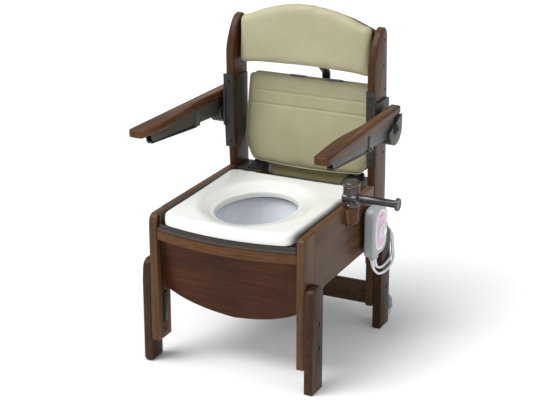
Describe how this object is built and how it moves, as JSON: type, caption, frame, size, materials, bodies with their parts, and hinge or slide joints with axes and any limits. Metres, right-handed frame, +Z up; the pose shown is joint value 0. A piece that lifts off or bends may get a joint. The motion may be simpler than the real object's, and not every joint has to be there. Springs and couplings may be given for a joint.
{
  "type": "commode chair",
  "caption": "Wooden bedside commode chair with flip-up armrests, lifting seat over a bucket, folding padded lid, padded back and a swinging paper holder.",
  "frame": {"origin": "floor point under the middle of the footprint box (without the leads); the chair's own mid plane lies 36 mm towards -X, because the paper holder sticks out on the +X side", "axes": "+X is the side with the paper holder and controller (the sitter's left hand), +Y towards the backrest, +Z up"},
  "size_m": [0.578, 0.5448, 0.8072],
  "materials": {
    "walnut": "satin dark walnut",
    "pale_walnut": "satin walnut, lighter cut",
    "red_walnut": "satin dark reddish walnut",
    "vinyl": "olive-beige upholstery vinyl",
    "ivory_plastic": "glossy ivory seat plastic",
    "lavender_plastic": "pale lavender bucket plastic",
    "tray_plastic": "dark brown moulded plastic",
    "black_plastic": "black moulded plastic",
    "bracket_grey": "dark grey powder coat",
    "beam_grey": "dark grey moulded plastic",
    "hinge_metal": "blue-grey plated steel",
    "gunmetal": "gunmetal metallic",
    "zinc": "zinc plated steel",
    "case_grey": "light grey moulded plastic",
    "dial_white": "white dial plastic",
    "cord_white": "white cord sheath",
    "plug_grey": "blue-grey moulded plug"
  },
  "bodies": {
    "chair": {"side_panel_left": "walnut", "side_panel_right": "walnut", "post_left": "walnut", "post_right": "walnut", "leg_front_left": "walnut", "leg_front_right": "walnut", "leg_rear_left": "walnut", "leg_rear_right": "walnut", "rear_rail": "walnut", "rear_stretcher": "walnut", "backrest_board": "walnut", "holder_socket": "walnut", "front_stile_left": "pale_walnut", "front_stile_right": "pale_walnut", "front_rail": "pale_walnut", "front_panel": "red_walnut", "leg_bolts_front_left": "zinc", "leg_bolts_front_right": "zinc", "leg_bolts_rear_left": "zinc", "leg_bolts_rear_right": "zinc", "bucket_handle": "zinc", "tray": "tray_plastic", "bucket": "lavender_plastic", "backrest_pad": "vinyl", "lid_hinge_base_left": "black_plastic", "lid_hinge_base_right": "black_plastic", "lid_stop": "black_plastic", "heater_gland": "black_plastic", "hank_strap": "black_plastic", "arm_bracket_left": "bracket_grey", "arm_bracket_right": "bracket_grey", "arm_pin_left": "bracket_grey", "arm_pin_right": "bracket_grey", "controller_hanger": "bracket_grey", "controller_case": "case_grey", "controller_gland": "case_grey", "heater_lead": "cord_white", "mains_lead": "cord_white", "mains_tail": "cord_white", "cord_hank": "cord_white", "mains_plug": "plug_grey"},
    "armrest_right": {"armrest_right": "walnut", "arm_beam_right": "beam_grey"},
    "armrest_left": {"armrest_left": "walnut", "arm_beam_left": "beam_grey"},
    "arm_lever_right": {"arm_lever_right": "black_plastic"},
    "arm_lever_left": {"arm_lever_left": "black_plastic"},
    "seat": {"toilet_seat": "ivory_plastic"},
    "lid_rear": {"lid_rear_board": "vinyl", "lid_rear_pad": "vinyl", "fold_leaf_rear_left": "hinge_metal", "fold_leaf_rear_right": "hinge_metal"},
    "lid_front": {"lid_front_board": "vinyl", "lid_front_pad": "vinyl", "fold_leaf_front_left": "hinge_metal", "fold_leaf_front_right": "hinge_metal"},
    "paper_holder": {"holder_body": "gunmetal", "holder_bar": "gunmetal"},
    "dial": {"controller_dial": "dial_white"}
  },
  "joints": [
    {"name": "armrest_right_lift", "type": "hinge", "parent": "chair", "child": "armrest_right", "pos_m": [0.194, 0.18, 0.527], "axis": [-1, 0, 0], "range_deg": [0, 95]},
    {"name": "arm_lever_right_squeeze", "type": "hinge", "parent": "armrest_right", "child": "arm_lever_right", "pos_m": [0.194, 0.034, 0.5167], "axis": [-1, 0, 0], "range_deg": [0, 2], "stiffness_Nm_per_rad": 6, "springref_deg": -2.86},
    {"name": "armrest_left_lift", "type": "hinge", "parent": "chair", "child": "armrest_left", "pos_m": [-0.266, 0.18, 0.527], "axis": [-1, 0, 0], "range_deg": [0, 95]},
    {"name": "arm_lever_left_squeeze", "type": "hinge", "parent": "armrest_left", "child": "arm_lever_left", "pos_m": [-0.266, 0.034, 0.5167], "axis": [-1, 0, 0], "range_deg": [0, 2], "stiffness_Nm_per_rad": 6, "springref_deg": -2.86},
    {"name": "seat_lift", "type": "hinge", "parent": "chair", "child": "seat", "pos_m": [-0.036, 0.138, 0.371], "axis": [-1, 0, 0], "range_deg": [0, 92]},
    {"name": "lid_hinge", "type": "hinge", "parent": "chair", "child": "lid_rear", "pos_m": [-0.036, 0.214, 0.3845], "axis": [-1, 0, 0], "range_deg": [-92.9, 0]},
    {"name": "lid_fold", "type": "hinge", "parent": "lid_rear", "child": "lid_front", "pos_m": [-0.036, 0.23018, 0.61593], "axis": [-1, 0, 0], "range_deg": [0, 180]},
    {"name": "paper_holder_swing", "type": "hinge", "parent": "chair", "child": "paper_holder", "pos_m": [0.169, 0.006, 0.402], "axis": [0, 0, 1], "range_deg": [-90, 90]},
    {"name": "dial_turn", "type": "hinge", "parent": "chair", "child": "dial", "pos_m": [0.204, 0.122, 0.284], "axis": [1, 0, 0], "range_deg": [0, 150]}
  ],
  "couplings": [
    {"joint": "lid_fold", "follows": "lid_hinge", "ratio": -1.9375}
  ]
}
